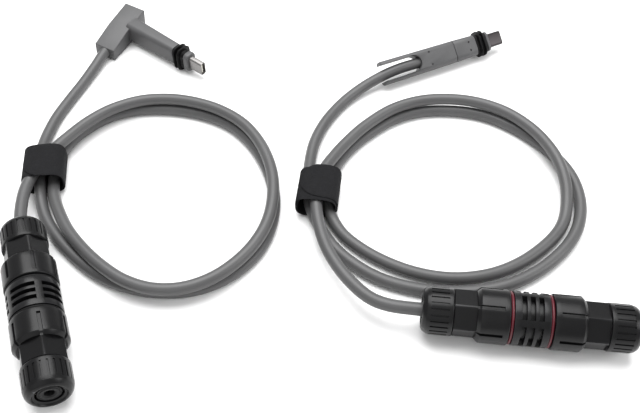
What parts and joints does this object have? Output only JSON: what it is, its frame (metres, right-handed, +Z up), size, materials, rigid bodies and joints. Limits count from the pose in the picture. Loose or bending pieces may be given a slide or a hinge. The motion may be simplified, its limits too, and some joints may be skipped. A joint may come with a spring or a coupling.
{
  "type": "cable assembly",
  "caption": "Pair of grey adapter leads, each with a sealed screw-down inline coupler, a strapped cable loop and a sealed plug, one straight and one angled.",
  "frame": {"origin": "on the floor, at the middle of the box around the two couplers", "axes": "+X along the straight lead's coupler towards its free end, +Y towards the plugs, +Z up from the floor the leads lie on"},
  "size_m": [0.3495, 0.3077, 0.0284],
  "materials": {
    "coupler_nylon": "satin moulded nylon, black",
    "seal_ring_rubber": "dark red silicone rubber",
    "jack_plastic": "black moulded plastic",
    "contact_gold": "gold-plated phosphor bronze",
    "clear_plug_plastic": "clear polycarbonate",
    "cable_jacket": "satin PVC, mid grey",
    "strap_fabric": "woven nylon, near black",
    "plug_plastic": "fine-textured moulded plastic, grey",
    "black_rubber": "black rubber",
    "grey_rubber": "dark grey sealing rubber",
    "tip_metal_dark": "drawn steel, dull",
    "tip_metal_bright": "drawn steel, nickel plated",
    "slip_plastic": "natural acetal"
  },
  "bodies": {
    "straight_lead": {"straight_centre_body": "coupler_nylon", "straight_seal_rings": "seal_ring_rubber", "straight_jack_block": "jack_plastic", "straight_jack_contacts": "contact_gold", "straight_modular_plug": "clear_plug_plastic", "straight_modular_contacts": "contact_gold", "straight_strap": "strap_fabric", "straight_plug_rear": "plug_plastic", "straight_plug_front": "plug_plastic", "straight_plug_seal": "black_rubber", "straight_tip_shell": "tip_metal_dark", "straight_tip_tongue": "jack_plastic", "straight_cable": "cable_jacket"},
    "angled_lead": {"angled_centre_body": "coupler_nylon", "angled_seal_rings": "black_rubber", "angled_jack_block": "jack_plastic", "angled_jack_contacts": "contact_gold", "angled_modular_plug": "clear_plug_plastic", "angled_modular_contacts": "contact_gold", "angled_strap": "strap_fabric", "angled_plug_body": "plug_plastic", "angled_plug_seal": "black_rubber", "angled_tip_shell": "tip_metal_bright", "angled_tip_tongue": "jack_plastic", "angled_cable": "cable_jacket"},
    "straight_field_clamp": {"straight_claw_field": "coupler_nylon", "straight_grommet_field": "grey_rubber"},
    "straight_field_housing": {"straight_housing_field": "coupler_nylon"},
    "straight_field_ring": {"straight_ring_field": "slip_plastic"},
    "straight_field_nut": {"straight_nut_field": "coupler_nylon"},
    "straight_cable_clamp": {"straight_claw_cable": "coupler_nylon", "straight_grommet_cable": "grey_rubber"},
    "straight_cable_housing": {"straight_housing_cable": "coupler_nylon"},
    "straight_cable_ring": {"straight_ring_cable": "slip_plastic"},
    "straight_cable_nut": {"straight_nut_cable": "coupler_nylon"},
    "angled_field_clamp": {"angled_claw_field": "coupler_nylon", "angled_grommet_field": "grey_rubber"},
    "angled_field_housing": {"angled_housing_field": "coupler_nylon"},
    "angled_field_ring": {"angled_ring_field": "slip_plastic"},
    "angled_field_nut": {"angled_nut_field": "coupler_nylon"},
    "angled_cable_clamp": {"angled_claw_cable": "coupler_nylon", "angled_grommet_cable": "grey_rubber"},
    "angled_cable_housing": {"angled_housing_cable": "coupler_nylon"},
    "angled_cable_ring": {"angled_ring_cable": "slip_plastic"},
    "angled_cable_nut": {"angled_nut_cable": "coupler_nylon"}
  },
  "joints": [
    {"name": "angled_lead_slide", "type": "slide", "parent": "straight_lead", "child": "angled_lead", "axis": [-1, 0, 0], "range_m": [0, 0.12]},
    {"name": "straight_field_clamp_travel", "type": "slide", "parent": "straight_lead", "child": "straight_field_clamp", "axis": [1, 0, 0], "range_m": [0, 0.008]},
    {"name": "straight_field_housing_turn", "type": "hinge", "parent": "straight_field_clamp", "child": "straight_field_housing", "pos_m": [0.1148, 0.0192, 0.0142], "axis": [1, 0, 0], "range_deg": [0, 1440]},
    {"name": "straight_field_ring_travel", "type": "slide", "parent": "straight_field_housing", "child": "straight_field_ring", "axis": [1, 0, 0], "range_m": [0, 0.006]},
    {"name": "straight_field_nut_turn", "type": "hinge", "parent": "straight_field_ring", "child": "straight_field_nut", "pos_m": [0.1148, 0.0192, 0.0142], "axis": [1, 0, 0], "range_deg": [0, 1080]},
    {"name": "straight_cable_clamp_travel", "type": "slide", "parent": "straight_lead", "child": "straight_cable_clamp", "axis": [-1, 0, 0], "range_m": [0, 0.008]},
    {"name": "straight_cable_housing_turn", "type": "hinge", "parent": "straight_cable_clamp", "child": "straight_cable_housing", "pos_m": [0.1148, 0.0192, 0.0142], "axis": [-1, 0, 0], "range_deg": [0, 1440]},
    {"name": "straight_cable_ring_travel", "type": "slide", "parent": "straight_cable_housing", "child": "straight_cable_ring", "axis": [-1, 0, 0], "range_m": [0, 0.006]},
    {"name": "straight_cable_nut_turn", "type": "hinge", "parent": "straight_cable_ring", "child": "straight_cable_nut", "pos_m": [0.1148, 0.0192, 0.0142], "axis": [-1, 0, 0], "range_deg": [0, 1080]},
    {"name": "angled_field_clamp_travel", "type": "slide", "parent": "angled_lead", "child": "angled_field_clamp", "axis": [0.4384, -0.8988, 0], "range_m": [0, 0.008]},
    {"name": "angled_field_housing_turn", "type": "hinge", "parent": "angled_field_clamp", "child": "angled_field_housing", "pos_m": [-0.1366, -0.001, 0.0142], "axis": [0.4384, -0.8988, 0], "range_deg": [0, 1440]},
    {"name": "angled_field_ring_travel", "type": "slide", "parent": "angled_field_housing", "child": "angled_field_ring", "axis": [0.4384, -0.8988, 0], "range_m": [0, 0.006]},
    {"name": "angled_field_nut_turn", "type": "hinge", "parent": "angled_field_ring", "child": "angled_field_nut", "pos_m": [-0.1366, -0.001, 0.0142], "axis": [0.4384, -0.8988, 0], "range_deg": [0, 1080]},
    {"name": "angled_cable_clamp_travel", "type": "slide", "parent": "angled_lead", "child": "angled_cable_clamp", "axis": [-0.4384, 0.8988, 0], "range_m": [0, 0.008]},
    {"name": "angled_cable_housing_turn", "type": "hinge", "parent": "angled_cable_clamp", "child": "angled_cable_housing", "pos_m": [-0.1366, -0.001, 0.0142], "axis": [-0.4384, 0.8988, 0], "range_deg": [0, 1440]},
    {"name": "angled_cable_ring_travel", "type": "slide", "parent": "angled_cable_housing", "child": "angled_cable_ring", "axis": [-0.4384, 0.8988, 0], "range_m": [0, 0.006]},
    {"name": "angled_cable_nut_turn", "type": "hinge", "parent": "angled_cable_ring", "child": "angled_cable_nut", "pos_m": [-0.1366, -0.001, 0.0142], "axis": [-0.4384, 0.8988, 0], "range_deg": [0, 1080]}
  ],
  "couplings": [
    {"joint": "straight_field_clamp_travel", "follows": "straight_field_housing_turn", "m_per_rad": 0.0003183},
    {"joint": "straight_field_ring_travel", "follows": "straight_field_nut_turn", "m_per_rad": 0.0003183},
    {"joint": "straight_cable_clamp_travel", "follows": "straight_cable_housing_turn", "m_per_rad": 0.0003183},
    {"joint": "straight_cable_ring_travel", "follows": "straight_cable_nut_turn", "m_per_rad": 0.0003183},
    {"joint": "angled_field_clamp_travel", "follows": "angled_field_housing_turn", "m_per_rad": 0.0003183},
    {"joint": "angled_field_ring_travel", "follows": "angled_field_nut_turn", "m_per_rad": 0.0003183},
    {"joint": "angled_cable_clamp_travel", "follows": "angled_cable_housing_turn", "m_per_rad": 0.0003183},
    {"joint": "angled_cable_ring_travel", "follows": "angled_cable_nut_turn", "m_per_rad": 0.0003183}
  ]
}
